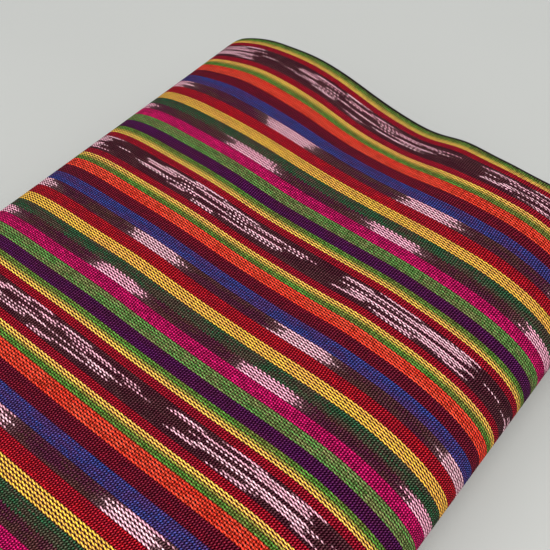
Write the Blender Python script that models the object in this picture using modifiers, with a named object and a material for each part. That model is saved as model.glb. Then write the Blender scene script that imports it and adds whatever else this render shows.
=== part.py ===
"""A length of striped ikat cloth, folded in half three times into a soft bundle of eight layers.

Metres, +Z up. The bundle lies on Z = 0 with its origin under its middle. X runs along the stripes and the
warp, from the end with the two cut edges (-X) to the big round fold (+X). Y runs across the stripes, to the
selvedge with the raised crown (+Y). The cloth is one strip. It starts at a cut edge in the third layer and
goes back and forth until it ends at the other cut edge in the fourth.
"""

import math
from collections import namedtuple

import bmesh
import bpy

# Sizes of the cloth
REPEAT = 0.050
REPEATS_ACROSS = 4
CLOSING_STRIPE = 0.0345 * REPEAT
WIDTH = REPEATS_ACROSS * REPEAT + CLOSING_STRIPE
SHEET = 0.003

# Sizes of the bundle
LENGTH = 2.567 * REPEAT
PITCH = 0.004
LAYERS = 8

# Layers in the order in which the cloth runs through them, from one cut edge to the other. It goes +X in the
# first, -X in the second, and so on
ROUTE = (3, 6, 7, 2, 1, 8, 5, 4)

# How far the cut edges stand in from the -X end, at the start and at the end of the route
CUT_INSETS = (0.0050, 0.0035)

# A turn joins two layers. Depth is the long half axis of its half ellipse, and inset is how far its outer
# face stands in from the bundle's end
Turn = namedtuple("Turn", "low high depth inset")
TURNS = (
    Turn(1, 8, 0.0265, 0.0000),
    Turn(2, 7, 0.0205, 0.0050),
    Turn(3, 6, 0.0140, 0.0100),
    Turn(4, 5, 0.0060, 0.0155),
    Turn(5, 8, 0.0185, 0.0001),
    Turn(6, 7, 0.0080, 0.0080),
    Turn(1, 2, 0.0070, 0.0025),
)

# How far each layer lies off the middle along Y, from the lowest to the top one
LAYER_SHIFTS = (0.0004, -0.0007, 0.0006, -0.0004, 0.0010, -0.0003, -0.0010, 0.0000)

# Soft swells and dips of the top, which fade towards the lowest layer. x is from the -X end and y from the
# +Y edge, and both, the height and the two reaches are in repeats
Swell = namedtuple("Swell", "x y height reach_x reach_y")
SWELLS = (
    Swell(0.66, 0.00, 0.085, 0.34, 0.48),
    Swell(1.42, 0.05, -0.032, 0.28, 0.45),
    Swell(2.03, 0.15, 0.028, 0.34, 0.40),
    Swell(2.20, 1.00, -0.020, 0.30, 0.35),
    Swell(0.84, 1.55, 0.012, 0.32, 0.80),
    Swell(2.05, 2.20, 0.030, 0.40, 0.70),
    Swell(1.05, 3.10, -0.070, 0.55, 0.55),
)

# Steps of the faces along each layer, round a turn for each layer that it spans, and across the cloth
RUN_STEPS = 10
LEAST_TURN_STEPS = 7
ACROSS_STEPS = 12

# Mean colour of the stripes, linear
CLOTH_COLOUR = (0.187, 0.038, 0.042, 1.0)
CLOTH_ROUGHNESS = 0.85

Station = namedtuple("Station", "x z shift")


def remove_everything():
    for thing in list(bpy.data.objects):
        bpy.data.objects.remove(thing, do_unlink=True)


def new_collection(name):
    collection = bpy.data.collections.new(name)
    bpy.context.scene.collection.children.link(collection)
    return collection


def cloth_material():
    material = bpy.data.materials.new("striped_cotton")
    material.use_nodes = True
    shader = material.node_tree.nodes["Principled BSDF"]
    shader.inputs["Base Color"].default_value = CLOTH_COLOUR
    shader.inputs["Roughness"].default_value = CLOTH_ROUGHNESS
    shader.inputs["Metallic"].default_value = 0.0
    return material


def layer_height(layer):
    """Height of the middle of a layer, counted from 1 at the bottom."""
    return SHEET / 2 + (layer - 1) * PITCH


def turn_between(layer, following):
    low, high = sorted((layer, following))
    return next(turn for turn in TURNS if (turn.low, turn.high) == (low, high))


def turn_centre(turn, end):
    """X of a turn's middle; end is 1 at the +X end of the bundle and -1 at the other."""
    return end * (LENGTH / 2 - SHEET / 2 - turn.inset - turn.depth)


def turn_stations(layer, following, end):
    """The half ellipse from one layer to the next, without its two ends."""
    turn = turn_between(layer, following)
    middle = (layer_height(layer) + layer_height(following)) / 2
    half_height = (layer_height(following) - layer_height(layer)) / 2
    steps = LEAST_TURN_STEPS + turn.high - turn.low
    stations = []
    for step in range(1, steps):
        share = step / steps
        angle = math.pi * (share - 0.5)
        x = turn_centre(turn, end) + end * turn.depth * math.cos(angle)
        z = middle + half_height * math.sin(angle)
        eased = (1 - math.cos(math.pi * share)) / 2
        start_shift = LAYER_SHIFTS[layer - 1]
        shift = start_shift + eased * (LAYER_SHIFTS[following - 1] - start_shift)
        stations.append(Station(x, z, shift))
    return stations


def run_stations(layer, start_x, end_x):
    """The stretch of one layer between two turns, with both its ends."""
    return [
        Station(start_x + (end_x - start_x) * step / RUN_STEPS, layer_height(layer), LAYER_SHIFTS[layer - 1])
        for step in range(RUN_STEPS + 1)
    ]


def route_stations():
    """The middle of the cloth from one cut edge to the other, seen along Y."""
    stations = []
    start_x = CUT_INSETS[0] - LENGTH / 2
    end = 1
    for layer, following in zip(ROUTE, ROUTE[1:]):
        centre = turn_centre(turn_between(layer, following), end)
        stations += run_stations(layer, start_x, centre)
        stations += turn_stations(layer, following, end)
        start_x = centre
        end = -end
    stations += run_stations(ROUTE[-1], start_x, CUT_INSETS[1] - LENGTH / 2)
    return stations


def swelling(x, y):
    """Height that the swells and dips add to the top of the bundle."""
    from_end = (x + LENGTH / 2) / REPEAT
    from_edge = (WIDTH / 2 - y) / REPEAT
    height = 0.0
    for swell in SWELLS:
        along = (from_end - swell.x) / swell.reach_x
        across = (from_edge - swell.y) / swell.reach_y
        height += swell.height * math.exp(-along * along - across * across)
    return height * REPEAT


def lifted(z):
    """Share of the swelling at a height: none in the lowest layer, all of it in the top one."""
    lowest = layer_height(1)
    return (z - lowest) / (layer_height(LAYERS) - lowest)


def folded_sheet(name, collection, material):
    """The strip as a flat grid, laid along the route and given its thickness."""
    stations = route_stations()
    along_steps = len(stations) - 1
    mesh = bpy.data.meshes.new(name)
    shape = bmesh.new()
    bmesh.ops.create_grid(shape, x_segments=along_steps, y_segments=ACROSS_STEPS, size=0.5)
    for vertex in shape.verts:
        station = stations[round((vertex.co.x + 0.5) * along_steps)]
        y = vertex.co.y * WIDTH + station.shift
        z = station.z + lifted(station.z) * swelling(station.x, y)
        vertex.co = (station.x, y, z)
    for face in shape.faces:
        face.smooth = True
    shape.to_mesh(mesh)
    shape.free()
    mesh.materials.append(material)
    sheet = bpy.data.objects.new(name, mesh)
    collection.objects.link(sheet)
    thickness = sheet.modifiers.new("thickness", "SOLIDIFY")
    thickness.thickness = SHEET
    thickness.offset = 0.0
    thickness.use_even_offset = True
    return sheet


def build():
    remove_everything()
    collection = new_collection("ikat_cloth")
    folded_sheet("cloth", collection, cloth_material())


build()
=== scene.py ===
"""Visual model of a folded length of striped ikat cloth.

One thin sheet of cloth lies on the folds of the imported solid. Its stripes, ikat and weave are counted in
yarns: the map of the sheet gives each point its place in picks along the warp and in ends across it. Lengths
are in metres.
"""

import math
from collections import namedtuple

import bpy
import numpy as np
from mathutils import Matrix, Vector


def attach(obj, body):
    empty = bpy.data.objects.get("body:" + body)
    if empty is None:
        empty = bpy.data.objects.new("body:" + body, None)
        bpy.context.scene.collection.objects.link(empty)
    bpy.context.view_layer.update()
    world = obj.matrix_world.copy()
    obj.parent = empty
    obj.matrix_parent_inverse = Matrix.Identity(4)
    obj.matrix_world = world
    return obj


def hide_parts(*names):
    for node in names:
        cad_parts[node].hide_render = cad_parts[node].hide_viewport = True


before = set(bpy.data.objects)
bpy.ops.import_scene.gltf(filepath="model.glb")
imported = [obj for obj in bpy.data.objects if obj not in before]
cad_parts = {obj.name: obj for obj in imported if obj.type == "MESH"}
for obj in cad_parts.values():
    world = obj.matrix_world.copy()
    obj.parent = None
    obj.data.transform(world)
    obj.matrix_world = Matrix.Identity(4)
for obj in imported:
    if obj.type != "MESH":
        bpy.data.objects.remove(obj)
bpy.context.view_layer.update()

# Sizes of the cloth and the bundle, as in the solid. FLAT_LENGTH is the way through all the layers
REPEAT = 0.050
REPEATS_ACROSS = 4
CLOSING_STRIPE = 0.0345 * REPEAT
WIDTH = REPEATS_ACROSS * REPEAT + CLOSING_STRIPE
LENGTH = 2.567 * REPEAT
HEIGHT = 0.031
LAYERS = 8

# The visible sheet is thinner than the solid one
SHEET = 0.0016

# Layers in the order in which the cloth runs through them, from one cut edge to the other. It goes +X in the
# first, -X in the second, and so on
ROUTE = (3, 6, 7, 2, 1, 8, 5, 4)

# How far the cut edges stand in from the -X end, at the start and at the end of the route
CUT_INSETS = (0.0050, 0.0035)

# A turn joins two layers. Depth is the long half axis of its half ellipse, and inset is how far its outer
# face stands in from the bundle's end
Turn = namedtuple("Turn", "low high depth inset")
TURNS = (
    Turn(1, 8, 0.0265, 0.0000),
    Turn(2, 7, 0.0205, 0.0050),
    Turn(3, 6, 0.0140, 0.0100),
    Turn(4, 5, 0.0060, 0.0155),
    Turn(5, 8, 0.0185, 0.0001),
    Turn(6, 7, 0.0080, 0.0080),
    Turn(1, 2, 0.0070, 0.0025),
)

# How far each layer lies off the middle along Y, from the lowest to the top one
LAYER_SHIFTS = (0.0004, -0.0007, 0.0006, -0.0004, 0.0010, -0.0003, -0.0010, 0.0000)

# Swells and dips of the top. x is from the -X end and y from the +Y edge, and all five are in repeats
Swell = namedtuple("Swell", "x y height reach_x reach_y")
SWELLS = (
    Swell(0.66, 0.00, 0.085, 0.34, 0.48),
    Swell(1.42, 0.05, -0.032, 0.28, 0.45),
    Swell(2.03, 0.15, 0.028, 0.34, 0.40),
    Swell(2.20, 1.00, -0.020, 0.30, 0.35),
    Swell(0.84, 1.55, 0.012, 0.32, 0.80),
    Swell(2.05, 2.20, 0.030, 0.40, 0.70),
    Swell(1.05, 3.10, -0.070, 0.55, 0.55),
)

# Small ripples of the top, listed in the same form
RIPPLES = (
    Swell(1.60, 0.00, 0.028, 0.14, 0.28),
    Swell(1.10, 0.28, -0.022, 0.24, 0.26),
    Swell(0.42, 0.38, 0.015, 0.16, 0.22),
    Swell(0.28, 0.00, 0.018, 0.18, 0.20),
    Swell(0.72, 0.15, -0.010, 0.18, 0.30),
    Swell(2.03, 0.00, -0.016, 0.16, 0.16),
    Swell(1.80, 0.35, 0.012, 0.20, 0.25),
    Swell(1.84, 1.30, 0.015, 0.16, 0.35),
    Swell(1.30, 1.30, -0.010, 0.30, 0.30),
    Swell(1.08, 1.08, -0.010, 0.20, 0.25),
    Swell(0.83, 1.82, 0.010, 0.20, 0.30),
    Swell(0.65, 0.85, 0.009, 0.30, 0.30),
    Swell(1.25, 0.85, -0.008, 0.30, 0.25),
)

# Steps of the mesh along the outer and the inner layers, round a turn at least, and across the cloth
OUTER_STEP = 0.0015
INNER_STEP = 0.0030
LEAST_TURN_STEPS = 12
ACROSS_STEP = 0.0021

# Distance from an edge of the cloth, and the share of its thickness that it has there. From FULL_THICKNESS on
# it has all of it. The even steps of the mesh start at CLEAR_OF_EDGE times the last of these distances
EDGE_ROUNDING = ((0.0, 0.0), (0.00012, 0.32), (0.00040, 0.52), (0.0012, 0.72), (0.0026, 0.90))
FULL_THICKNESS = 0.0045
CLEAR_OF_EDGE = 1.3

# Yarns
ENDS_PER_REPEAT = 160
PICK_PITCH = 0.00061

# How far the selvedge stands out past the solid's edge
SELVEDGE_REACH = 0.00035

# The sett: places in repeats from the solid's +Y edge, and the number of ends from the first green one to
# there. It is about 160 ends to a repeat, looser at the +Y selvedge and late in the third repeat, and closer
# just inside that selvedge and after the loose place
SELVEDGE_SETT = ((-0.007, -2), (0.039, 4))
REPEAT_SETT = ((0.100, 16), (0.223, 36), (0.322, 52), (1.000, 160))
LOOSE_SETT = ((2.870, 450), (4.0415, 647))
SETT = SELVEDGE_SETT + tuple(
    (band + place, band * ENDS_PER_REPEAT + number)
    for band in range(3)
    for place, number in REPEAT_SETT
    if band + place < LOOSE_SETT[0][0]
) + LOOSE_SETT

# CHART_PLACE repeats from the -X end, the top layer is CHART_HERE repeats along the warp's count
CHART_PLACE = 0.40
CHART_HERE = 0.32

# Stripes in order from the +Y selvedge, with their number of ends, their colour and that of their patches, in
# sRGB
Stripe = namedtuple("Stripe", "name ends colour patch")
STRIPES = (
    Stripe("narrow green", 4, (85, 150, 45), (115, 130, 50)),
    Stripe("narrow olive", 2, (160, 165, 50), (170, 150, 55)),
    Stripe("narrow yellow", 4, (250, 200, 75), (250, 185, 80)),
    Stripe("narrow red", 6, (195, 5, 35), (180, 10, 45)),
    Stripe("wide ikat", 20, (80, 20, 40), (95, 50, 55)),
    Stripe("narrow red", 6, (195, 5, 35), (180, 10, 45)),
    Stripe("narrow yellow", 4, (250, 200, 75), (250, 185, 80)),
    Stripe("narrow olive", 2, (160, 165, 50), (170, 150, 55)),
    Stripe("narrow green", 4, (85, 150, 45), (115, 130, 50)),
    Stripe("orange", 10, (255, 55, 25), (255, 75, 40)),
    Stripe("maroon", 10, (140, 5, 40), (120, 10, 45)),
    Stripe("blue", 10, (55, 75, 160), (90, 60, 130)),
    Stripe("ikat a", 10, (100, 30, 65), (100, 60, 55)),
    Stripe("red", 10, (210, 10, 30), (190, 10, 40)),
    Stripe("yellow", 10, (250, 195, 60), (250, 180, 70)),
    Stripe("dark green", 9, (40, 105, 65), (95, 80, 65)),
    Stripe("ikat b", 9, (100, 30, 65), (100, 60, 55)),
    Stripe("magenta", 10, (235, 5, 110), (210, 5, 100)),
    Stripe("green", 10, (90, 150, 65), (125, 135, 75)),
    Stripe("purple", 10, (90, 10, 90), (90, 15, 75)),
)
SELVEDGE_ENDS = 3.0
SELVEDGE_COLOUR = (38, 40, 36)
WEFT_COLOUR = (60, 4, 16)

# Pale ends lie between two tones, and those of the second narrow ikat stripe are pinker
PALE_COLOUR = (255, 204, 214)
PALE_SECOND = (240, 164, 184)
PALE_PINK = (255, 168, 196)
PINKNESS = 0.6

# Half-dyed yarn under and beside the pale lengths
BLEED_COLOUR = (122, 84, 88)

# Lint and a painted highlight show on the crowns of the yarns, where the painted shade is brightest
LINT_AND_HIGHLIGHT_COLOUR = (225, 210, 215)
LINT_AND_HIGHLIGHT = 0.045
LINT_AND_HIGHLIGHT_POWER = 3.0

# Weave. The yarns wander by some picks. Each float of the warp shows as a slanted ellipse, FLOAT_LENGTH picks
# long and FLOAT_WIDTH ends wide to either side of its middle. Its middle lies FLOAT_SHIFT ends off the middle
# of its pair, and it moves SLANT ends across in each pick
WANDER = 2.4
FLOAT_LENGTH = 0.88
FLOAT_WIDTH = 0.48
FLOAT_SHIFT = 0.25
SLANT = 0.38

# Painted shade of the weave, multiplied into the colour. Pale yarns show round floats, and dark ones show
# slanted ribs, one to a pick, darker in the valleys and gaps. Here are the powers of a float's roundness and
# of a rib's, how many picks a rib slants over one end, and the shares of brightness that the painted shade
# leaves between two picks and in the gaps
PALE_POWER = 1.3
PALE_GAP = 0.06
DARK_GAP = 0.60
RIB_SLANT = 0.22
RIB_POWER = 4.0
PALE_VALLEY = 0.80
DARK_VALLEY = 0.04

# How much the gaps between dark yarns take on the colour of the warp beside them
GAP_TINT = 0.55

# Brightness of the yarns: the least, and the most that each end, each length of an end, each crossing and
# each slub adds
LEAST_BRIGHTNESS = 0.14
END_BRIGHTNESS = 0.20
LENGTH_BRIGHTNESS = 0.28
CROSSING_BRIGHTNESS = 0.44
SLUB_BRIGHTNESS = 0.80

# Noise over the yarns: how fast it changes along the warp and from end to end, a seed that sets it apart from
# the others, and its detail. Along the warp the first two are in picks and the others in repeats
Grain = namedtuple("Grain", "along across seed detail")
WANDER_GRAIN = Grain(0.022, 0.045, 0.0, 2.0)
SLUB_GRAIN = Grain(0.50, 0.22, 8.0, 1.0)
STAGGER_GRAIN = Grain(5.0, 7.31, 2.0, 1.0)
PATCH_GRAIN = Grain(3.2, 0.11, 4.0, 2.0)
FINE_PATCH_GRAIN = Grain(12.0, 0.9, 9.0, 1.0)
DYE_GRAIN = Grain(9.0, 1.65, 6.0, 1.0)
LENGTH_GRAIN = Grain(6.0, 3.7, 0.0, 2.0)

# Seeds of the random numbers that each end has, and that each crossing has
STAGGER_SEED = (3.0, 7.0)
TONE_SEED = (11.0, 5.0)
BEAD_SEED = 8.0
CROSSING_SEED = 1.0

# Ranges over which one look turns into the other: weft to warp, colour to patch colour, faint to pale for
# lengths and for single floats, dyed to half-dyed, half-dyed to pale, and dark shading to pale shading
WARP_EDGE = (0.0, 0.40)
PATCH_EDGE = (0.40, 0.60)
DYE_EDGE = (0.25, 0.52)
BEAD_EDGE = (0.05, 0.45)
BLEED_EDGE = (0.0, 0.8)
PALE_EDGE = (0.25, 0.85)
LIGHT_EDGE = (0.12, 0.32)

# Two numbers nearer to each other than this count as the same
SAME = 0.4

# A colour ramp keeps 256 steps and rounds down. This keeps the middle of an end from falling back into the
# stripe before its own
RAMP_OFFSET = 0.25

# Surface of the cloth. The crowns of the weft are lower than those of the warp
CLOTH_ROUGHNESS = 0.85
SHEEN = 0.01
SHEEN_ROUGHNESS = 0.5
BUMP_STRENGTH = 0.5
BUMP_DEPTH = 0.00016
WEFT_HEIGHT = 0.35

# Whole range over which an end's own random number moves its pale lengths to and fro, and over which a slow
# drift along it does, in repeats
END_STAGGER = 0.04
DRIFT_STAGGER = 0.26

# Half the length over which the end of a pale streak fades, in repeats, and the same for a narrow ikat
# stripe. There the half-dyed yarn reaches further out
FEATHER = 0.018
NARROW_FEATHER = 0.030
BLEED_REACH = 0.11

# How pale the faintest lengths and the faintest single floats of the streaks are
STREAK_FAINTEST = 0.55
FAINTEST_BEAD = 0.50

# One repeat of the wide ikat stripes as a chart: a chain of lozenges, a fuller block and a thin line.
# Each pale streak has its start and stop along the warp, in repeats, and the first and last of the stripe's
# 20 ends that it takes in, counted from the +Y side
Streak = namedtuple("Streak", "start stop first last")
STREAKS = (
    Streak(0.02, 0.18, 5, 6),
    Streak(0.00, 0.17, 7, 8),
    Streak(0.00, 0.16, 11, 13),
    Streak(0.15, 0.33, 3, 4),
    Streak(0.18, 0.33, 14, 16),
    Streak(0.20, 0.33, 6, 6),
    Streak(0.25, 0.34, 9, 9),
    Streak(0.19, 0.32, 12, 12),
    Streak(0.32, 0.48, 1, 2),
    Streak(0.36, 0.53, 5, 6),
    Streak(0.37, 0.49, 7, 7),
    Streak(0.34, 0.53, 11, 12),
    Streak(0.40, 0.52, 17, 19),
    Streak(0.50, 0.69, 3, 4),
    Streak(0.55, 0.71, 6, 7),
    Streak(0.57, 0.67, 9, 9),
    Streak(0.55, 0.70, 12, 12),
    Streak(0.54, 0.73, 15, 16),
    Streak(0.72, 0.90, 5, 6),
    Streak(0.72, 0.86, 7, 7),
    Streak(0.70, 0.91, 11, 12),
    Streak(0.72, 0.88, 13, 13),
    Streak(0.75, 0.89, 15, 15),
    Streak(0.90, 1.04, 6, 7),
    Streak(0.92, 1.03, 9, 9),
    Streak(1.20, 1.38, 3, 5),
    Streak(1.26, 1.36, 9, 9),
    Streak(1.22, 1.38, 14, 16),
    Streak(1.34, 1.92, 5, 6),
    Streak(1.36, 1.92, 8, 8),
    Streak(1.33, 1.93, 11, 13),
    Streak(1.46, 1.64, 1, 2),
    Streak(1.47, 1.64, 17, 19),
    Streak(1.63, 1.88, 3, 4),
    Streak(1.62, 1.90, 7, 7),
    Streak(1.64, 1.88, 14, 16),
    Streak(1.80, 1.96, 1, 2),
    Streak(1.82, 1.96, 17, 18),
    Streak(1.98, 2.12, 9, 9),
)

# Length of that repeat, and a place before its first streak where it starts
CHART_PERIOD = 2.20
CHART_FROM = -0.05

# How far along the warp the chart stands in each wide ikat stripe, from the +Y side
CHART_STARTS = (0.51, 0.33, 0.26, 1.20)

# Pale lengths of the two narrow ikat stripes, in repeats: their period, the middle of one, half its length,
# how much of that it loses at the sides of the stripe, and how far it is moved in each repeat of the stripes
NARROW_PERIOD = 0.866
NARROW_MIDDLE = 0.785
NARROW_HALF = 0.155
NARROW_POINT = 0.035
NARROW_SHIFTS = {"ikat a": (0.0, 0.0, 0.02, 0.05), "ikat b": (-0.045, 0.01, 0.04, -0.02)}

# Camera
CAMERA_PLACE = (0.08432, -0.06168, 0.18530)
CAMERA_AZIMUTH = math.radians(39.15)
CAMERA_ELEVATION = math.radians(51.03)
FOCAL_LENGTH = 56.99
SENSOR = 36.0
NEAREST_SEEN = 0.005

# Light
WORLD_COLOUR = (232, 236, 238)
WORLD_STRENGTH = 1.55
LAMP_PLACE = (0.19, -0.16, 0.48)
LAMP_TARGET = (0.05, -0.05, 0.0)
LAMP_SIZE = 0.45
LAMP_POWER = 2.5

# Floor
FLOOR_HALF_SIZE = 3.0
FLOOR_COLOUR = (158, 157, 153)
FLOOR_DARKER = 3
FLOOR_GRAIN = 18.0
FLOOR_DETAIL = 3.0
FLOOR_ROUGHNESS = 0.7


def linear(colour):
    """sRGB from 0 to 255 as an opaque linear colour."""
    shares = [channel / 255 for channel in colour]
    return (*[s / 12.92 if s <= 0.04045 else ((s + 0.055) / 1.055) ** 2.4 for s in shares], 1.0)


# The folded sheet

Station = namedtuple("Station", "x z shift layer")


def layer_height(layer):
    """Height of the middle of a layer, counted from 1 at the bottom."""
    return SHEET / 2 + (layer - 1) * (HEIGHT - SHEET) / (LAYERS - 1)


def turn_between(layer, following):
    low, high = sorted((layer, following))
    return next(turn for turn in TURNS if (turn.low, turn.high) == (low, high))


def turn_centre(turn, end):
    """X of a turn's middle; end is 1 at the +X end of the bundle and -1 at the other."""
    return end * (LENGTH / 2 - SHEET / 2 - turn.inset - turn.depth)


def outer(*layers):
    return 1 in layers or LAYERS in layers


def turn_stations(layer, following, end):
    """The half ellipse from one layer to the next, without its two ends."""
    turn = turn_between(layer, following)
    low = layer_height(layer)
    high = layer_height(following)
    half_height = (high - low) / 2
    reach = math.pi * math.sqrt((turn.depth**2 + half_height**2) / 2)
    steps = max(LEAST_TURN_STEPS, round(reach / (OUTER_STEP if outer(layer, following) else INNER_STEP)))
    stations = []
    for step in range(1, steps):
        share = step / steps
        angle = math.pi * (share - 0.5)
        eased = (1 - math.cos(math.pi * share)) / 2
        shift = (1 - eased) * LAYER_SHIFTS[layer - 1] + eased * LAYER_SHIFTS[following - 1]
        x = turn_centre(turn, end) + end * turn.depth * math.cos(angle)
        z = (low + high) / 2 + half_height * math.sin(angle)
        stations.append(Station(x, z, shift, layer + share * (following - layer)))
    return stations


def run_stations(layer, start_x, end_x):
    """The stretch of one layer between two turns, with both its ends."""
    steps = round(abs(end_x - start_x) / (OUTER_STEP if outer(layer) else INNER_STEP))
    height = layer_height(layer)
    shift = LAYER_SHIFTS[layer - 1]
    return [
        Station(start_x + (end_x - start_x) * step / steps, height, shift, layer)
        for step in range(steps + 1)
    ]


def route_stations():
    """The middle of the cloth from one cut edge to the other, seen along Y."""
    stations = []
    start_x = CUT_INSETS[0] - LENGTH / 2
    end = 1
    for layer, following in zip(ROUTE, ROUTE[1:]):
        centre = turn_centre(turn_between(layer, following), end)
        stations += run_stations(layer, start_x, centre)
        stations += turn_stations(layer, following, end)
        start_x = centre
        end = -end
    return stations + run_stations(ROUTE[-1], start_x, CUT_INSETS[1] - LENGTH / 2)


def swelling(x, y):
    """Height that the swells and ripples add to the top of the bundle."""
    along = (x + LENGTH / 2) / REPEAT
    across = (WIDTH / 2 - y) / REPEAT
    height = np.zeros_like(along)
    for swell in SWELLS + RIPPLES:
        distance = ((along - swell.x) / swell.reach_x) ** 2 + ((across - swell.y) / swell.reach_y) ** 2
        height += swell.height * np.exp(-distance)
    return height * REPEAT


def with_edge_steps(places, low, high):
    """The places between low and high, with the closer ones that round an edge off at both ends."""
    steps = [distance for distance, _ in EDGE_ROUNDING]
    clear = CLEAR_OF_EDGE * steps[-1]
    inner = [place for place in places if low + clear < place < high - clear]
    return np.array([low + step for step in steps] + inner + [high - step for step in reversed(steps)])


def edge_share(distance):
    """Share of the cloth's thickness at a distance from its edge."""
    known = [place for place, _ in EDGE_ROUNDING] + [FULL_THICKNESS]
    shares = [share for _, share in EDGE_ROUNDING] + [1.0]
    return np.interp(distance, known, shares)


def folded_sheet():
    """The sheet as a closed skin round its middle, with a map of picks along it and ends across it."""
    stations = route_stations()
    line = np.array([(s.x, s.z, s.shift, s.layer) for s in stations])
    gaps = np.hypot(np.diff(line[:, 0]), np.diff(line[:, 1]))
    run = np.concatenate([[0.0], np.cumsum(gaps)])
    keep = with_edge_steps(list(run), 0.0, run[-1])
    x, z, shift, layer = [np.interp(keep, run, line[:, column]) for column in range(4)]
    half_width = WIDTH / 2 + SELVEDGE_REACH
    across = with_edge_steps(list(np.arange(-half_width, half_width, ACROSS_STEP)), -half_width, half_width)

    rows, columns = len(keep), len(across)
    y = across[None, :] + shift[:, None]
    x = np.repeat(x[:, None], columns, 1)
    z = np.repeat(z[:, None], columns, 1)
    lowest, highest = layer_height(1), layer_height(LAYERS)
    z = z + (z - lowest) / (highest - lowest) * swelling(x, y)
    middle = np.stack([x, y, z], -1)
    along_tangent = np.gradient(middle, axis=0)
    across_tangent = np.gradient(middle, axis=1)
    normal = np.cross(along_tangent, across_tangent)
    normal /= np.linalg.norm(normal, axis=-1, keepdims=True)

    from_side = np.minimum(across - across[0], across[-1] - across)
    from_cut = np.minimum(keep, keep[-1] - keep)
    share = edge_share(from_side)[None, :] * edge_share(from_cut)[:, None]
    offset = normal * (share * SHEET / 2)[..., None]
    front = (middle + offset).reshape(-1, 3)
    back = (middle - offset).reshape(-1, 3)

    # The map is tied to the top layer
    top = np.where(layer == LAYERS)[0]
    order = top[np.argsort(x[top, 0])]
    reference = np.interp(CHART_PLACE * REPEAT - LENGTH / 2, x[order, 0], keep[order])
    chart = CHART_HERE + (reference - keep) / REPEAT
    picks = chart * REPEAT / PICK_PITCH
    from_selvedge = (WIDTH / 2 - across) / REPEAT
    ends = np.interp(from_selvedge, [place for place, _ in SETT], [number for _, number in SETT])

    number = np.arange(rows * columns).reshape(rows, columns)
    corner = np.stack([number[:-1, :-1], number[1:, :-1], number[1:, 1:], number[:-1, 1:]], -1)
    corner = corner.reshape(-1, 4)

    # On the rim the thickness is 0, so front and back share their vertices there
    rim = np.zeros((rows, columns), bool)
    rim[[0, -1], :] = True
    rim[:, [0, -1]] = True
    inside = ~rim.ravel()
    back_number = number.ravel().copy()
    back_number[inside] = rows * columns + np.arange(inside.sum())
    vertices = np.concatenate([front, back[inside]])
    back_faces = back_number[corner[:, ::-1]]
    polygons = np.concatenate([corner, back_faces])
    uv = np.stack(np.broadcast_arrays(picks[:, None], ends[None, :]), -1).reshape(-1, 2)
    uv = np.concatenate([uv, uv[inside]])

    mesh = bpy.data.meshes.new("cloth_sheet")
    mesh.from_pydata(vertices.tolist(), [], polygons.tolist())
    yarns = mesh.uv_layers.new(name="Yarns")
    corners = np.zeros(len(mesh.loops), int)
    mesh.loops.foreach_get("vertex_index", corners)
    yarns.data.foreach_set("uv", uv[corners].astype(np.float32).ravel())
    mesh.shade_smooth()
    mesh.update()
    piece = bpy.data.objects.new("cloth_sheet", mesh)
    bpy.context.scene.collection.objects.link(piece)
    return piece


# Materials

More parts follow.
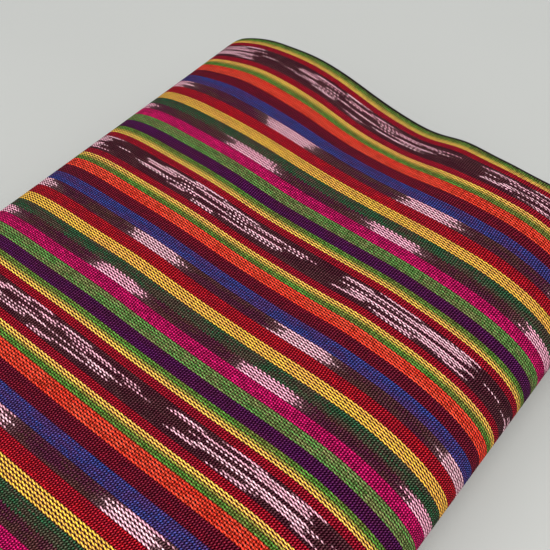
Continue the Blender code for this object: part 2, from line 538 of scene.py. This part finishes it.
class Nodes:
    """Short calls that make the nodes of one material."""

    def __init__(self, name):
        self.material = bpy.data.materials.new(name)
        self.material.use_nodes = True
        self.tree = self.material.node_tree
        self.shader = self.tree.nodes["Principled BSDF"]

    def put(self, socket, value):
        if isinstance(value, bpy.types.NodeSocket):
            self.tree.links.new(value, socket)
        else:
            socket.default_value = value

    def node(self, kind, inputs=(), **settings):
        node = self.tree.nodes.new(kind)
        for name, value in settings.items():
            setattr(node, name, value)
        for key, value in dict(inputs).items():
            self.put(node.inputs[key], value)
        return node

    def math(self, operation, *values):
        node = self.node("ShaderNodeMath", operation=operation)
        for socket, value in zip(node.inputs, values):
            self.put(socket, value)
        return node.outputs[0]

    def add(self, a, b):
        return self.math("ADD", a, b)

    def subtract(self, a, b):
        return self.math("SUBTRACT", a, b)

    def times(self, a, b):
        return self.math("MULTIPLY", a, b)

    def power(self, value, exponent):
        """The size of a value, whatever its sign, raised to a power."""
        return self.math("POWER", self.math("ABSOLUTE", value), exponent)

    def same(self, value, number):
        return self.math("COMPARE", value, number, SAME)

    def smooth(self, value, low, high, to_low=0.0, to_high=1.0):
        inputs = {0: value, 1: low, 2: high, 3: to_low, 4: to_high}
        return self.node("ShaderNodeMapRange", inputs, interpolation_type="SMOOTHSTEP").outputs[0]

    def mix(self, share, a, b, blend="MIX"):
        node = self.node("ShaderNodeMix", data_type="RGBA", blend_type=blend)
        self.put(node.inputs[0], share)
        self.put(node.inputs[6], a)
        self.put(node.inputs[7], b)
        return node.outputs[2]

    def mix_value(self, share, a, b):
        return self.node("ShaderNodeMix", {0: share, 2: a, 3: b}, data_type="FLOAT").outputs[0]

    def spread(self, share, lowest):
        """From lowest to 1 as the share goes from 0 to 1."""
        return self.add(self.times(share, 1 - lowest), lowest)

    def greatest(self, values):
        greatest = values[0]
        for value in values[1:]:
            greatest = self.math("MAXIMUM", greatest, value)
        return greatest

    def vector(self, x, y, z):
        return self.node("ShaderNodeCombineXYZ", {0: x, 1: y, 2: z}).outputs[0]

    def noise(self, vector, scale, detail):
        inputs = {"Vector": vector, "Scale": scale, "Detail": detail}
        return self.node("ShaderNodeTexNoise", inputs).outputs["Fac"]

    def grain(self, grain, along, across):
        """Noise over the yarns."""
        vector = self.vector(self.times(along, grain.along), self.times(across, grain.across), grain.seed)
        return self.noise(vector, 1.0, grain.detail)

    def random(self, *place):
        """A random number for each place."""
        inputs = {"Vector": self.vector(*place)}
        return self.node("ShaderNodeTexWhiteNoise", inputs, noise_dimensions="3D").outputs["Value"]

    def bands(self, value, stops):
        """The colour of each stop, from there to the next one."""
        node = self.node("ShaderNodeValToRGB", {0: value})
        node.color_ramp.interpolation = "CONSTANT"
        elements = node.color_ramp.elements
        while len(elements) < len(stops):
            elements.new(1.0)
        for element, (place, colour) in zip(elements, stops):
            element.position = place
            element.color = colour
        return node.outputs[0]

    def curves(self, value, functions):
        """Up to three functions of one value between 0 and 1, each given by the points of a broken line."""
        node = self.node("ShaderNodeRGBCurve", {"Color": value})
        for curve, points in zip(node.mapping.curves, functions):
            curve.points[1].location = (1.0, 0.0)
            for place, level in points:
                curve.points.new(place, level)
            for point in curve.points:
                point.handle_type = "VECTOR"
        node.mapping.update()
        return node.outputs[0]

    def dot(self, a, b):
        return self.node("ShaderNodeVectorMath", {0: a, 1: b}, operation="DOT_PRODUCT").outputs["Value"]


def ends_before(number):
    """Ends of a repeat that come before one of its stripes."""
    return sum(stripe.ends for stripe in STRIPES[:number])


def stripe_start(name):
    return ends_before([stripe.name for stripe in STRIPES].index(name))


def stripe_ends(name):
    return next(stripe.ends for stripe in STRIPES if stripe.name == name)


def streak_points(end):
    """Points of a curve over one period of the chart, which is 1 on the pale lengths of one end."""
    spans = []
    for streak in sorted(STREAKS):
        if not streak.first <= end <= streak.last:
            continue
        if spans and streak.start < spans[-1][1] + 2 * FEATHER:
            spans[-1][1] = max(spans[-1][1], streak.stop)
        else:
            spans.append([streak.start, streak.stop])
    points = []
    for start, stop in spans:
        corners = ((start - FEATHER, 0), (start + FEATHER, 1), (stop - FEATHER, 1), (stop + FEATHER, 0))
        points += [((place - CHART_FROM) / CHART_PERIOD, level) for place, level in corners]
    return points


Weave = namedtuple("Weave", "picks pair_middle from_pair end pick fullness roundness crown")


def plain_weave(n, picks, ends):
    """Plain weave with two ends to a dent.

    The two rise over the weft by turns, so a pair looks like one wavy rope, and the weft shows between the
    pairs. Fullness and roundness say how high a float stands, and crown how near a pick's middle is.
    """
    pair_middle = n.add(n.times(n.math("FLOOR", n.times(ends, 0.5)), 2.0), 1.0)
    from_pair = n.subtract(ends, pair_middle)
    floats = []
    for side, first_pick in ((1.0, 0.0), (-1.0, 1.0)):
        along = n.math("WRAP", n.subtract(picks, first_pick), 1.0, -1.0)
        across = n.subtract(n.add(from_pair, side * FLOAT_SHIFT), n.times(along, SLANT))
        lengthwise = n.power(n.times(along, 1 / FLOAT_LENGTH), 2.0)
        crosswise = n.power(n.times(across, 1 / FLOAT_WIDTH), 2.0)
        floats.append(n.subtract(n.subtract(1.0, lengthwise), crosswise))
    second_is_up = n.math("GREATER_THAN", floats[1], floats[0])
    fullness = n.math("MAXIMUM", n.greatest(floats), 0.0)
    return Weave(
        picks=picks,
        pair_middle=pair_middle,
        from_pair=from_pair,
        end=n.add(n.subtract(pair_middle, 1.0), second_is_up),
        pick=n.math("FLOOR", n.add(picks, 0.5)),
        fullness=fullness,
        roundness=n.math("SQRT", fullness),
        crown=n.power(n.math("COSINE", n.times(picks, math.pi)), 2.0),
    )


def stripe_colour(n, chart, end, in_repeat):
    """The dyed colour of each stripe, with patches of its second colour along it."""
    in_ramp = n.math("DIVIDE", n.add(in_repeat, RAMP_OFFSET), ENDS_PER_REPEAT)
    starts = [ends_before(number) / ENDS_PER_REPEAT for number in range(len(STRIPES))]
    main = n.bands(in_ramp, [(start, linear(stripe.colour)) for start, stripe in zip(starts, STRIPES)])
    patch = n.bands(in_ramp, [(start, linear(stripe.patch)) for start, stripe in zip(starts, STRIPES)])
    patches = n.grain(PATCH_GRAIN, chart, end)
    fine_patches = n.grain(FINE_PATCH_GRAIN, chart, end)
    patch_share = n.smooth(n.add(n.times(patches, 0.5), n.times(fine_patches, 0.5)), *PATCH_EDGE)
    return n.mix(patch_share, main, patch)


def wide_streaks(n, chart, in_repeat, in_band):
    """1 on the pale streaks of the wide ikat stripes. A node of curves holds those of three ends."""
    moved = n.subtract(chart, CHART_FROM)
    for here, start in zip(in_band, CHART_STARTS):
        moved = n.subtract(moved, n.times(here, start))
    in_period = n.math("DIVIDE", n.math("FLOORED_MODULO", moved, CHART_PERIOD), CHART_PERIOD)
    before = stripe_start("wide ikat")
    found = []
    for first in range(1, stripe_ends("wide ikat") + 1, 3):
        three = range(first, first + 3)
        lengths = n.curves(in_period, [streak_points(end) for end in three])
        chosen = n.vector(*[n.same(in_repeat, before + end - 0.5) for end in three])
        found.append(n.dot(lengths, chosen))
    return n.greatest(found)


Lengths = namedtuple("Lengths", "inside pale half_dyed")


def narrow_lengths(n, name, chart, in_repeat, in_band):
    """Where a narrow ikat stripe is, and where it is pale and half-dyed."""
    half = stripe_ends(name) / 2
    middle = stripe_start(name) + half
    inside = n.math("COMPARE", in_repeat, middle, half)
    moved = n.subtract(chart, NARROW_MIDDLE)
    for here, shift in zip(in_band, NARROW_SHIFTS[name]):
        moved = n.subtract(moved, n.times(here, shift))
    off_middle = n.math("DIVIDE", n.math("ABSOLUTE", n.subtract(in_repeat, middle)), half)
    cycle = n.add(n.math("PINGPONG", moved, NARROW_PERIOD / 2), n.times(off_middle, NARROW_POINT))
    pale = n.smooth(cycle, NARROW_HALF + NARROW_FEATHER, NARROW_HALF - NARROW_FEATHER)
    half_dyed = n.smooth(cycle, NARROW_HALF + BLEED_REACH, NARROW_HALF - NARROW_FEATHER)
    return Lengths(inside, n.times(inside, pale), n.times(inside, half_dyed))


def painted_weave_shade(n, weave, warp_share, lightness):
    """Painted shade of the weave: ribs of dark yarns, and round floats of pale ones with the weft between."""
    painted_float_shade = n.times(n.math("POWER", weave.roundness, PALE_POWER), n.spread(weave.crown, PALE_VALLEY))
    painted_gap_shade = n.spread(n.times(weave.crown, weave.crown), PALE_GAP)
    slanted = n.add(weave.picks, n.times(weave.from_pair, RIB_SLANT))
    ribs = n.power(n.math("COSINE", n.times(slanted, math.pi)), RIB_POWER)
    painted_rib_shade = n.times(n.spread(ribs, DARK_VALLEY), n.spread(weave.roundness, DARK_GAP))
    return n.mix_value(lightness, painted_rib_shade, n.mix_value(warp_share, painted_gap_shade, painted_float_shade))


def cloth_material():
    n = Nodes("striped_cotton")
    place = n.node("ShaderNodeUVMap", uv_map="Yarns").outputs[0]
    split = n.node("ShaderNodeSeparateXYZ", {0: place})
    even_picks = split.outputs[0]
    ends = split.outputs[1]

    # Yarns that wander a little
    wander = n.grain(WANDER_GRAIN, even_picks, ends)
    picks = n.add(even_picks, n.times(n.subtract(wander, 0.5), WANDER))
    chart = n.times(picks, PICK_PITCH / REPEAT)
    weave = plain_weave(n, picks, ends)

    # Stripes
    end_middle = n.add(weave.end, 0.5)
    in_repeat = n.math("FLOORED_MODULO", end_middle, ENDS_PER_REPEAT)
    repeat_number = n.math("FLOOR", n.math("DIVIDE", end_middle, ENDS_PER_REPEAT))
    in_band = [n.same(repeat_number, float(band)) for band in range(len(CHART_STARTS))]
    colour = stripe_colour(n, chart, weave.end, in_repeat)

    # Each end's own stagger, for the feathered ends of the pale lengths
    own = n.random(weave.end, *STAGGER_SEED)
    drift = n.grain(STAGGER_GRAIN, chart, weave.end)
    own_stagger = n.times(n.subtract(own, 0.5), END_STAGGER)
    stagger = n.add(own_stagger, n.times(n.subtract(drift, 0.5), DRIFT_STAGGER))
    chart_own = n.add(chart, stagger)

    # Wide ikat stripes. Some lengths are fainter, and in the first stripe single floats are too
    streaks = wide_streaks(n, chart_own, in_repeat, in_band)
    dyed = n.grain(DYE_GRAIN, chart, weave.pair_middle)
    pale = n.times(streaks, n.smooth(dyed, *DYE_EDGE, STREAK_FAINTEST, 1.0))
    beads = n.smooth(n.random(weave.end, weave.pick, BEAD_SEED), *BEAD_EDGE, FAINTEST_BEAD, 1.0)
    pale = n.times(pale, n.mix_value(in_band[0], 1.0, beads))

    # Narrow ikat stripes
    narrow = {name: narrow_lengths(n, name, chart_own, in_repeat, in_band) for name in NARROW_SHIFTS}
    pale = n.greatest([pale, *[lengths.pale for lengths in narrow.values()]])
    bleed = n.greatest([streaks, *[lengths.half_dyed for lengths in narrow.values()]])

    # Colour of the pale and the half-dyed lengths
    bled = n.mix(n.smooth(bleed, *BLEED_EDGE), colour, linear(BLEED_COLOUR))
    tone = n.random(weave.end, *TONE_SEED)
    pale_colour = n.mix(tone, linear(PALE_COLOUR), linear(PALE_SECOND))
    pale_colour = n.mix(n.times(narrow["ikat b"].inside, PINKNESS), pale_colour, linear(PALE_PINK))
    colour = n.mix(n.smooth(pale, *PALE_EDGE), bled, pale_colour)

    # Selvedge
    near_edge = n.math("MINIMUM", n.subtract(ends, SETT[0][1]), n.subtract(SETT[-1][1], ends))
    colour = n.mix(n.math("LESS_THAN", near_edge, SELVEDGE_ENDS), colour, linear(SELVEDGE_COLOUR))

    # Uneven yarns
    uneven = n.grain(LENGTH_GRAIN, chart, weave.end)
    crossing = n.random(weave.end, weave.pick, CROSSING_SEED)
    slubs = n.grain(SLUB_GRAIN, picks, ends)
    brightness = n.add(n.times(own, END_BRIGHTNESS), n.times(uneven, LENGTH_BRIGHTNESS))
    brightness = n.add(brightness, n.times(crossing, CROSSING_BRIGHTNESS))
    brightness = n.add(brightness, n.times(slubs, SLUB_BRIGHTNESS))
    colour = n.mix(1.0, colour, n.add(brightness, LEAST_BRIGHTNESS), "MULTIPLY")

    # Painted shade of the weave, the dark weft between the ropes, and lint with a painted highlight on the
    # crowns
    lightness = n.smooth(n.node("ShaderNodeRGBToBW", {0: colour}).outputs[0], *LIGHT_EDGE)
    warp_share = n.smooth(weave.fullness, *WARP_EDGE)
    # Painted shade, darker in the valleys between picks and in the gaps between the ropes
    painted_shade = painted_weave_shade(n, weave, warp_share, lightness)
    tint = n.times(n.subtract(1.0, lightness), GAP_TINT)
    colour = n.mix(n.math("MAXIMUM", warp_share, tint), linear(WEFT_COLOUR), colour)
    # Lint and a painted highlight, whitish where the painted shade is brightest
    lint_and_highlight = n.times(n.math("POWER", painted_shade, LINT_AND_HIGHLIGHT_POWER), LINT_AND_HIGHLIGHT)
    colour = n.mix(1.0, colour, painted_shade, "MULTIPLY")
    colour = n.mix(lint_and_highlight, colour, linear(LINT_AND_HIGHLIGHT_COLOUR))

    height = n.mix_value(warp_share, n.times(weave.crown, WEFT_HEIGHT), weave.roundness)
    bump_inputs = {"Strength": BUMP_STRENGTH, "Distance": BUMP_DEPTH, "Height": height}
    bump = n.node("ShaderNodeBump", bump_inputs)
    n.put(n.shader.inputs["Base Color"], colour)
    n.put(n.shader.inputs["Roughness"], CLOTH_ROUGHNESS)
    n.put(n.shader.inputs["Specular IOR Level"], 0.0)
    n.put(n.shader.inputs["Sheen Weight"], SHEEN)
    n.put(n.shader.inputs["Sheen Roughness"], SHEEN_ROUGHNESS)
    n.put(n.shader.inputs["Normal"], bump.outputs[0])
    return n.material


def floor_material():
    n = Nodes("floor_matt")
    place = n.node("ShaderNodeTexCoord").outputs["Object"]
    darker = tuple(channel - FLOOR_DARKER for channel in FLOOR_COLOUR)
    colour = n.mix(n.noise(place, FLOOR_GRAIN, FLOOR_DETAIL), linear(FLOOR_COLOUR), linear(darker))
    n.put(n.shader.inputs["Base Color"], colour)
    n.put(n.shader.inputs["Roughness"], FLOOR_ROUGHNESS)
    return n.material


# Stage, light and camera

def stage():
    mesh = bpy.data.meshes.new("floor")
    sides = ((-1, -1), (1, -1), (1, 1), (-1, 1))
    corners = [(x * FLOOR_HALF_SIZE, y * FLOOR_HALF_SIZE, 0) for x, y in sides]
    mesh.from_pydata(corners, [], [(0, 1, 2, 3)])
    mesh.materials.append(floor_material())
    floor = bpy.data.objects.new("floor", mesh)
    bpy.context.scene.collection.objects.link(floor)


def daylight():
    world = bpy.data.worlds.new("studio")
    world.use_nodes = True
    background = world.node_tree.nodes["Background"]
    background.inputs["Color"].default_value = linear(WORLD_COLOUR)
    background.inputs["Strength"].default_value = WORLD_STRENGTH
    bpy.context.scene.world = world


def overhead_lamp():
    light = bpy.data.lights.new("overhead", "AREA")
    light.shape = "DISK"
    light.size = LAMP_SIZE
    light.energy = LAMP_POWER
    lamp = bpy.data.objects.new("overhead", light)
    lamp.location = LAMP_PLACE
    lamp.visible_camera = False
    towards_lamp = Vector(LAMP_PLACE) - Vector(LAMP_TARGET)
    lamp.rotation_euler = towards_lamp.to_track_quat("Z", "Y").to_euler()
    bpy.context.scene.collection.objects.link(lamp)


def photo_camera():
    camera = bpy.data.cameras.new("camera")
    camera.lens = FOCAL_LENGTH
    camera.sensor_width = SENSOR
    camera.clip_start = NEAREST_SEEN
    holder = bpy.data.objects.new("camera", camera)
    back = Vector((
        math.sin(CAMERA_AZIMUTH) * math.cos(CAMERA_ELEVATION),
        -math.cos(CAMERA_AZIMUTH) * math.cos(CAMERA_ELEVATION),
        math.sin(CAMERA_ELEVATION),
    ))
    holder.location = CAMERA_PLACE
    holder.rotation_euler = (-back).to_track_quat("-Z", "Y").to_euler()
    bpy.context.scene.collection.objects.link(holder)
    bpy.context.scene.camera = holder
    bpy.context.scene.view_settings.view_transform = "Standard"


cloth = folded_sheet()
cloth.data.materials.append(cloth_material())
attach(cloth, "root")
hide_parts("cloth")
stage()
daylight()
overhead_lamp()
photo_camera()
